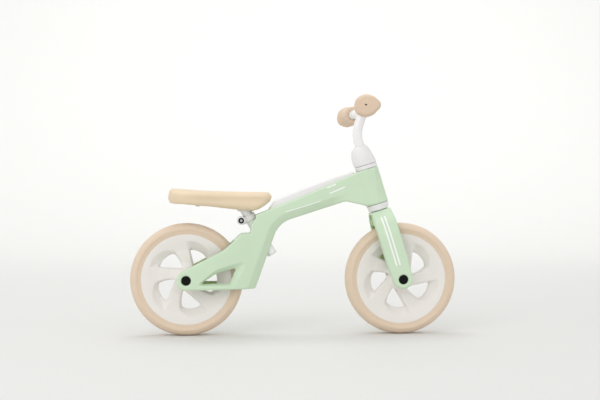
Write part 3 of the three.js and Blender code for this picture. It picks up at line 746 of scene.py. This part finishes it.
def fork_distance(x, y, z):
    out = abs(y)
    solid = both(inside(FORK_SIDE, x, z), inside(FORK_FRONT, out, z), 6)
    from_axle = np.hypot(x, z)
    solid = cut(solid, both(from_axle - TYRE_RADIUS - FORK_ROOM, out - LEG_INNER, 3), 3)
    solid = cut(solid, both(np.hypot(x, y) - STEERER_HOLE["radius"], STEERER_HOLE["from"] - z))
    hollow = both(out - FORK_HOLLOW["half"], between(z, FORK_HOLLOW["from"], FORK_HOLLOW["to"]), 4)
    hollow = both(hollow, x - FORK_HOLLOW["x"])
    rib = abs(out - FORK_RIB["middle"]) - FORK_RIB["half"]
    solid = cut(solid, cut(hollow, rib), 0.8)
    return cut(solid, bolt_recess(from_axle, out), 0.8)


def inside_fork(middles, normals):
    """The faces that look at the wheel, the ones in the hollow at the back of the crown and the undersides
    over the tyre, which take a darker green as painted shade.
    """
    x, y, z = middles.T
    in_hollow = (between(x, *FORK_HOLLOW["depths"]) < 0) & (abs(y) < FORK_HOLLOW["half"])
    in_hollow = in_hollow & (between(z, FORK_HOLLOW["from"], FORK_HOLLOW["to"]) < 0)
    over_tyre = (z < CROWN_BOTTOM) & (normals[:, 2] < -FACING) & (abs(y) < 30)
    return beside_wheel(middles, normals) | in_hollow | over_tyre


def make_fork():
    fork = Moulding(fork_distance, (-26, -LEG_OUTER, -21), (26, LEG_OUTER, 163), 1.4)
    moulded("fork_legs", "steering", "green_fork", fork, STEERING,
            replaces=["fork"], shade_faces=inside_fork)
    for side, sign in SIDES.items():
        for end, across in FORK_STRIPES.items():
            line = [(across, STRIPE["from"]), (across, STRIPE["to"])]
            stripe(f"{side}_fork_stripe_{end}", "steering", fork, sign, line, STRIPE["width"], STEERING)


STEM_FRONT = [(266, 25.4), (270, 25.6), (281, 24.4), (295, 21), (303, 18), (308, 15.6), (312, 13.5)]
STEM_REAR = [(266, 25.2), (270, 26.4), (279, 27.4), (292, 26.6), (303, 23.6), (308, 20), (312, 13)]
STEM_BOLT = {"x": -15.9, "radius": 3.0, "floor": 303.7}
STEM_BORE = {"radius": 11.3, "to": 267.3}


def make_stem():
    base, top = box_in_steering("stem")

    def distance(x, y, z):
        from_axis = np.hypot(x, y)
        forward = (1 + x / np.maximum(from_axis, 1e-3)) / 2
        radius = forward * eased(z, STEM_FRONT, 2) + (1 - forward) * eased(z, STEM_REAR, 2)
        steepness = 0.93  # makes the sloping side's distance a true one
        solid = both((from_axis - radius) * steepness, between(z, base, top), 2)
        from_bolt = np.hypot(x - STEM_BOLT["x"], y)
        pocket = both(from_bolt - STEM_BOLT["radius"] - 0.4, STEM_BOLT["floor"] - z)
        return cut(cut(solid, pocket, 0.4), both(from_axis - STEM_BORE["radius"], STEM_BORE["to"] - z))

    stem = Moulding(distance, (-28, -27, base), (27, 27, top), 1.0)
    moulded("stem_collar", "steering", "white_trim", stem, STEERING, replaces=["stem"])


def box_in_steering(node):
    """The lowest and highest places of a CAD node up the steering axis."""
    points = np.array([vertex.co for vertex in frame["nodes"][node].data.vertices]) / MM
    up, _ = axis_coordinates(points[:, 0], points[:, 2], FRONT_AXLE, STEERING_TILT)
    return up.min(), up.max()


# ---- Handlebar and grips ----
BAR_RADIUS = 11
BAR_MIDDLE = np.array([157, 0, 500])
GRIP = {"start": 100, "length": 81, "x": 146.2, "z": 501, "sweep": math.radians(5.8)}
BAR_END = 176
BAR_WALL = {"thickness": 1.6, "open_from": 130}  # the crossbar is hollow from there to its end


def crossbar_line():
    """The crossbar's middle line: a bowed middle and a straight end under each grip."""
    def at(y):
        return np.array([GRIP["x"] - (y - GRIP["start"]) * math.tan(GRIP["sweep"]), y, GRIP["z"]])

    half = np.vstack([bezier(BAR_MIDDLE, (157, 30, 500), at(60), at(90), 9), at(BAR_END)])
    return np.vstack([half[::-1] * (1, -1, 1), half[1:]])


def make_handlebar():
    crossbar = crossbar_line()
    riser = bezier((0, 0, 322), (0, 0, 345), (13, 0, 361), (30.3, 0, 383), 9)
    riser = STEERING(np.vstack([(0, 0, 268), riser]))

    def distance(x, y, z):
        bar = near(crossbar, x, y, z)
        tubes = join(bar - BAR_RADIUS, near(riser, x, y, z) - BAR_RADIUS, 3)
        hollow = both(bar - BAR_RADIUS + BAR_WALL["thickness"], BAR_WALL["open_from"] - abs(y))
        return cut(tubes, hollow, 0.3)

    low = (crossbar[:, 0].min() - BAR_RADIUS, -BAR_END - 11, riser[0, 2] - 6)
    high = (riser[:, 0].max() + BAR_RADIUS, BAR_END + 11, 512.5)

    def squared(x, y, z):
        foot = (z - riser[0, 2]) * math.cos(STEERING_TILT) - (x - riser[0, 0]) * math.sin(STEERING_TILT)
        return both(both(distance(x, y, z), abs(y) - BAR_END), -foot)

    bar = Moulding(squared, low, high, 1.3)
    moulded("white_handlebar", "steering", "white_bar", bar, replaces=["handlebar"])


BULB = rounded([
    (-24, -5, 12), (-21, 13, 14), (-3, 22.4, 16), (17, 19.6, 22), (37, 1, 12), (16, -20, 24), (-1, -25, 16),
    (-20, -18.5, 14),
])
BULB_FROM = 56
VENT_RADIUS = 2  # hole in a grip's end
GRIP_DOME = 0.0035  # how fast a grip's end falls away from its middle
SLEEVE_LENGTH = 68
BULB_CHAMFER = {"slope": 0.75, "depth": 5.5, "share": 0.8}
GRIP_RADII = [(-1, 19.4), (4, 20.2), (7, 19.2), (12, 16.6), (34, 16.6), (48, 19), (60, 21), (70, 21)]


def grip_distance(x, y, z):
    from_axis = np.hypot(x, z)
    dome = y - GRIP["length"] + GRIP_DOME * from_axis**2
    section = inside(BULB, x, z)
    chamfer = (section + BULB_CHAMFER["slope"] * (dome + BULB_CHAMFER["depth"])) * BULB_CHAMFER["share"]
    bulb = both(both(section, chamfer, 1.5), both(dome, BULB_FROM - y), 1.5)
    steepness = 0.9  # makes the sloping side's distance a true one
    sleeve = both((from_axis - eased(y, GRIP_RADII, 2)) * steepness, between(y, 0, SLEEVE_LENGTH), 2)
    solid = join(bulb, sleeve, 6)
    solid = cut(solid, both(from_axis - BAR_RADIUS - GAP, y - BAR_END + GRIP["start"] - 1))
    return cut(solid, from_axis - VENT_RADIUS, 0.3)


def make_grips():
    grip = Moulding(grip_distance, (-26, 0, -28), (37, GRIP["length"], 24), 1.1)
    for side, sign in SIDES.items():
        place = moved((GRIP["x"], sign * GRIP["start"], GRIP["z"]), sign * GRIP["sweep"])
        moulded(f"{side}_grip", "steering", "beige_grip", grip, place, sign == RIGHT, [f"grip_{side}"])


# ---- Wheels ----
WINDOW_COUNT = 5
WINDOW_PHASES = {"front": math.radians(44.4), "rear": math.radians(64)}
RIM_RADIUS = 101
RIM_HALF_WIDTHS = [
    (0, 27), (21, 27), (23, 25.5), (30, 17.5), (38, 13.5), (66, 13), (77, 15), (86, 17.3), (97, 19),
    (101, 19.4),
]
TYRE_BED = {"radius": 97, "half": 16.5}  # the groove that the tyre sits in
HUB_BORE = {"radius": 7, "bearing_radius": 14.3, "bearing_from": 18.7}


def polar(points):
    """Turns corners of (radius, degrees, rounding) into flat ones."""
    corners = [(radius, math.radians(angle), turn) for radius, angle, turn in points]
    return rounded([(r * math.cos(a), r * math.sin(a), turn) for r, a, turn in corners])


RIM_OPENING = polar([
    (25, -29, 3), (46, -25, 30), (63, -20.5, 8), (67, -8, 40), (68, 8, 40), (66, 19.5, 2.5), (43, 7.5, 30),
])
RIM_RECESS = polar([
    (23, -32, 4), (48, -28.5, 30), (68, -24, 12), (80, -10, 30), (88, 8, 30), (85, 26, 3), (60, 19.5, 40),
    (42, 12, 30),
])


def rim_distance(x, y, z):
    out, from_axle = abs(y), np.hypot(x, z)
    half = eased(from_axle, RIM_HALF_WIDTHS, 2.5)
    opening = recess = np.inf
    for index in range(WINDOW_COUNT):
        turn = 2 * math.pi * index / WINDOW_COUNT
        a, b = x * math.cos(turn) + z * math.sin(turn), z * math.cos(turn) - x * math.sin(turn)
        opening = np.minimum(opening, inside(RIM_OPENING, a, b))
        recess = np.minimum(recess, inside(RIM_RECESS, a, b))
    solid = both(out - half, from_axle - RIM_RADIUS, 0.4)
    share = np.clip((out - 3) / (half - 3), 0, 1)
    solid = cut(solid, (1 - share) * opening + share * recess, 2.2)
    solid = cut(solid, both(TYRE_BED["radius"] - from_axle, out - TYRE_BED["half"]))
    bearing = both(from_axle - HUB_BORE["bearing_radius"], HUB_BORE["bearing_from"] - out)
    return cut(solid, join(from_axle - HUB_BORE["radius"], bearing))


def tyre_profile():
    half = [(97.3, -16.2, 0.4), (100.6, -16.2, 0.4), (100.6, -19.1, 0.3), (107, -20.6, 6)]
    half += [(112, -TYRE_HALF_WIDTH - 0.6, 6), (120, -18.5, 12), (TYRE_RADIUS, -8, 14)]
    return rounded(half + [(radius, -y, turn) for radius, y, turn in reversed(half)])


def make_wheels():
    rim = Moulding(rim_distance, (-101, -27, -101), (101, 27, 101), 1.4)
    for end, axle in (("front", FRONT_AXLE), ("rear", REAR_AXLE)):
        body = f"{end}_wheel"
        place = tilted(axle, WINDOW_PHASES[end])
        moulded(f"{end}_wheel_rim", body, "rim_plastic", rim, place, replaces=[f"{end}_rim"])
        turned(f"{end}_foam_tyre", body, "foam_tyre", tyre_profile(), moved(axle), "y", 192, [f"{end}_tyre"])


AXLE_HEAD_HEIGHT = 4.0


def make_axle_ends():
    spacer = rounded([(6.5, 27.4, 0), (9, 27.4, 0.5), (9, 31.6, 0.5), (6.5, 31.6, 0)])
    washer = rounded([(4.4, 46.3, 0), (10.2, 46.3, 0.3), (10.2, 47.8, 0.3), (4.4, 47.8, 0)])
    for end, axle, body in (("front", FRONT_AXLE, "steering"), ("rear", REAR_AXLE, "frame")):
        for side, sign in SIDES.items():
            foot = axle + np.array([0, sign * (BOLT_TOP - AXLE_HEAD_HEIGHT), 0])
            place = moved(foot) if sign == RIGHT else turned_over(foot)
            screw_head(BOLT_RADIUS, AXLE_HEAD_HEIGHT, "hex", f"{end}_axle_bolt_{side}",
                       body, "black_bolt", place, [f"{end}_bolt_{side}"])
            turned(f"{end}_axle_spacer_{side}", body, "grey_plastic", spacer * (1, sign),
                   moved(axle), "y", 48, [f"{end}_spacer_{side}"])
            turned(f"{end}_bolt_washer_{side}", body, "black_bolt", washer * (1, sign),
                   moved(axle), "y", 48, [f"{end}_washer_{side}"])


# ---- Seat post, clamp and saddle ----
CLAMP = {"inner": 12.9, "outer": 14.7, "from": 91, "to": 103.5, "slot_half": 1.2}
EAR = {"x": -19.6, "z": 101.7, "radius": 9.5, "half": 18}  # lies across the bike, behind the clamp
EAR_RECESS = {"radius": 6.5, "floor": 14}
CLAMP_NECK = {"from": -20, "to": 0, "half": 12}
CLAMP_BOLT = {"radius": 3.4, "height": 3, "y": -14.4}


def clamp_distance(x, y, z):
    from_axis = np.hypot(x, y)
    from_bolt = np.hypot(x - EAR["x"], z - EAR["z"])
    layer = between(z, CLAMP["from"], CLAMP["to"])
    collar = both(from_axis - CLAMP["outer"], layer, 1)
    ear = both(from_bolt - EAR["radius"], abs(y) - EAR["half"], 1.6)
    neck = both(between(x, CLAMP_NECK["from"], CLAMP_NECK["to"]), layer, 1)
    neck = both(neck, abs(y) - CLAMP_NECK["half"], 2)
    solid = join(join(collar, neck, 2), ear, 2)
    solid = cut(solid, from_axis - CLAMP["inner"], 0.3)
    solid = cut(solid, both(abs(y) - CLAMP["slot_half"], x), 0.4)
    return cut(solid, both(from_bolt - EAR_RECESS["radius"], EAR_RECESS["floor"] - abs(y)), 0.6)


def make_seat_tube():
    clamp = Moulding(clamp_distance, (-30, -18, 90), (15, 18, 112), 0.8)
    moulded("post_clamp", "frame", "grey_plastic", clamp, SEAT, replaces=["seat_clamp"])
    ear = SEAT(np.array([[EAR["x"], CLAMP_BOLT["y"], EAR["z"]]]))[0]
    screw_head(CLAMP_BOLT["radius"], CLAMP_BOLT["height"], "hex", "post_clamp_bolt",
               "frame", "zinc_steel", moved(ear), ["seat_clamp_bolt"])
    cup = rounded([(3.6, 0, 0), (5.9, 0, 0.3), (5.9, -3.8, 0.8), (3.6, -3.8, 0.5)])
    turned("post_clamp_bolt_cup", "frame", "black_bolt", cup, moved(ear), "y", 48)
    sleeve = rounded([(11.3, 24.2, 0), (12.6, 24.2, 0.4), (12.6, 104, 0.4), (11.3, 104, 0)])
    turned("post_sleeve", "frame", "grey_plastic", sleeve, SEAT, turns=64, replaces=["seat_sleeve"])
    post = rounded([(9.2, 3, 0), (11, 3, 0.5), (11, 138, 0.5), (9.2, 138, 0)])
    turned("saddle_post", "seat", "white_bar", post, SEAT, turns=64, replaces=["seat_post"])
    plug = rounded([(0.5, 0, 0), (11, 0, 1.3), (11, 2.7, 0.5), (8.9, 2.7, 0), (8.9, 14, 0.6), (0.5, 14, 0)])
    turned("saddle_post_plug", "seat", "grey_plastic", plug, SEAT, turns=64, replaces=["post_plug"])


SADDLE_SIDE = rounded([
    (-281, 307, 8), (-277, 295.5, 6), (-266, 293.6, 20), (-188, 286.5, 80), (-122, 278.6, 60),
    (-93, 276.6, 12), (-76, 281.5, 30), (-52.5, 300, 14), (-49.5, 311, 7), (-58, 319.3, 8), (-122, 320, 80),
    (-199, 322.5, 80), (-252, 326.3, 60), (-276.5, 327.8, 8),
])
SADDLE_WIDTHS = [
    (-281, 30), (-276, 46), (-266, 59), (-255, 67), (-243, 70), (-228, 69.5), (-212, 65), (-192, 56),
    (-175, 48), (-155, 41), (-135, 36), (-95, 31), (-72, 27.5), (-60, 22), (-50, 11),
]
SADDLE_CROWN = {"height": 5.5, "power": 2.4, "from": 300, "fade": 20}
SADDLE_WAIST = {"depth": 1.6, "z": 301, "spread": 6}
SADDLE_STEEPNESS = 0.88  # makes the curved plan's distance a true one
SADDLE_PLATE = {"bottom": 296, "top": 304.6, "inset": 10, "rear": -262, "front": -60, "corner": 14}


def saddle_edge(x, y):
    """How far outside the saddle's plan a place lies."""
    half = eased(x, SADDLE_WIDTHS, 4)
    return (abs(y) - half) * SADDLE_STEEPNESS


# Below the plate: a boss round the post, a lug for the rear screw and a stiffening rib
SADDLE_BOSS = {"radius": 15, "bottom": 276, "bore": 11.3, "bore_to": 138.3}
SADDLE_LUG = {"rear": -221, "front": -210, "half": 6, "bottom": 287}
SADDLE_RIB = {"rear": -242, "front": -102, "half": 1.2, "bottom": 291.5}


def plate_edge(x, y):
    """How far outside the plan of the saddle's plate a place lies."""
    ends = between(x, SADDLE_PLATE["rear"], SADDLE_PLATE["front"])
    return both(saddle_edge(x, y) + SADDLE_PLATE["inset"], ends, SADDLE_PLATE["corner"])


def saddle_distance(x, y, z):
    half = eased(x, SADDLE_WIDTHS, 4)
    towards_side = np.clip(abs(y) / half, 0, 1) ** SADDLE_CROWN["power"]
    towards_top = np.clip((z - SADDLE_CROWN["from"]) / SADDLE_CROWN["fade"], 0, 1)
    drop = SADDLE_CROWN["height"] * towards_side * towards_top
    waist = SADDLE_WAIST["depth"] * np.exp(-(((z - SADDLE_WAIST["z"]) / SADDLE_WAIST["spread"]) ** 2))
    solid = both(inside(SADDLE_SIDE, x, z + drop), saddle_edge(x, y) + waist, 12)
    return cut(solid, both(plate_edge(x, y) - 2 * GAP, z - SADDLE_PLATE["top"] - 0.4), 1.5)


def saddle_base_distance(x, y, z):
    plate = both(plate_edge(x, y), between(z, SADDLE_PLATE["bottom"], SADDLE_PLATE["top"]), 1.2)
    up, across = axis_coordinates(x, z, SEAT_FOOT, SEAT_TILT)
    from_post = np.hypot(across, y)
    boss = both(from_post - SADDLE_BOSS["radius"], between(z, SADDLE_BOSS["bottom"], 303), 1)
    lug = both(between(x, SADDLE_LUG["rear"], SADDLE_LUG["front"]), abs(y) - SADDLE_LUG["half"], 1.2)
    lug = both(lug, between(z, SADDLE_LUG["bottom"], 300), 1)
    rib = both(abs(y) - SADDLE_RIB["half"], between(x, SADDLE_RIB["rear"], SADDLE_RIB["front"]))
    rib = both(rib, between(z, SADDLE_RIB["bottom"], 300), 0.8)
    solid = join(join(join(plate, rib, 2), boss, 3), lug, 2)
    return cut(solid, both(from_post - SADDLE_BOSS["bore"], up - SADDLE_BOSS["bore_to"]))


def make_saddle():
    pad = Moulding(saddle_distance, (-282, -71, 276), (-49, 71, 329), 1.5)
    cushion = moulded("saddle_cushion", "seat", "beige_saddle", pad, replaces=["saddle_pad"])
    base = Moulding(saddle_base_distance, (-272, -62, 275), (-58, 62, 306), 1.3)
    moulded("saddle_underside", "seat", "grey_plastic", base, replaces=["saddle_base"])


# ---- Camera, stage and light ----
CAMERA = {
    "place": (-155.6, -2292.7, 315.7),
    "yaw": math.radians(4.216),
    "pitch": math.radians(-0.356),
    "lens": 61.29,
    "sensor": 36,
}
LIGHTS = {  # place and aim in metres, (width, height) in metres, watts
    "overhead": ((-0.2, 0.7, 2.8), (0, 0, 0.2), (1.5, 1.2), 13),
    "front_fill": ((-1.8, -2.8, 2.4), (0, 0, 0.25), (2.2, 2.2), 28),
    "wall_wash": ((0.5, 2.9, 3.2), (0.5, 5.15, 1.3), (7.0, 0.8), 71),
}
SKY_STRENGTH = 0.93


def make_camera():
    data = bpy.data.cameras.new("camera")
    data.lens = CAMERA["lens"]
    data.sensor_width = CAMERA["sensor"]
    camera = bpy.data.objects.new("camera", data)
    camera.location = [value * MM for value in CAMERA["place"]]
    camera.rotation_euler = (math.pi / 2 + CAMERA["pitch"], 0, -CAMERA["yaw"])
    bpy.context.scene.collection.objects.link(camera)
    bpy.context.scene.camera = camera


def stage_look(name, colour):
    look = Look(name, colour, 0.75, drift=0.004, drift_mm=900)
    look.grain(look.noise(3), 0.02)
    return look.done()


def make_stage():
    """A pale floor that curves up into a wall well behind the bike."""
    cove_from, cove_radius, wall_top, half_width, front = 2700, 3200, 9000, 16000, -9000
    bend = [(cove_from + cove_radius * math.sin(a), cove_radius * (1 - math.cos(a)))
            for a in np.linspace(0, math.pi / 2, 32)]
    profile = [(front, 0), *bend, (cove_from + cove_radius, wall_top)]
    vertices = [(x * MM, y * MM, z * MM) for y, z in profile for x in (-half_width, half_width)]
    faces = [[2 * k, 2 * k + 1, 2 * k + 3, 2 * k + 2] for k in range(len(profile) - 1)]
    mesh = bpy.data.meshes.new("studio_floor")
    mesh.from_pydata(vertices, [], faces)
    mesh.polygons.foreach_set("use_smooth", np.ones(len(faces), bool))
    mesh.materials.append(stage_look("studio_floor", FLOOR_GREY))
    floor = bpy.data.objects.new("studio_floor", mesh)
    bpy.context.scene.collection.objects.link(floor)


def area_light(name, place, aim, size, power):
    """A soft light of (width, height), placed and aimed in metres."""
    data = bpy.data.lights.new(name, "AREA")
    data.shape = "RECTANGLE"
    data.size, data.size_y = size
    data.energy = power
    light = bpy.data.objects.new(name, data)
    light.location = place
    towards = Vector(aim) - Vector(place)
    light.rotation_euler = towards.to_track_quat("-Z", "Y").to_euler()
    bpy.context.scene.collection.objects.link(light)


def make_light():
    world = bpy.data.worlds.new("studio")
    world.use_nodes = True
    sky = world.node_tree.nodes["Background"]
    sky.inputs["Color"].default_value = (1, 1, 1, 1)
    sky.inputs["Strength"].default_value = SKY_STRENGTH
    bpy.context.scene.world = world
    for name, settings in LIGHTS.items():
        area_light(name, *settings)
    bpy.context.scene.view_settings.view_transform = "Standard"


make_camera()
make_frame()
make_top_cover()
make_rings()
make_fork()
make_stem()
make_handlebar()
make_grips()
make_wheels()
make_axle_ends()
make_seat_tube()
make_saddle()
make_stage()
make_light()
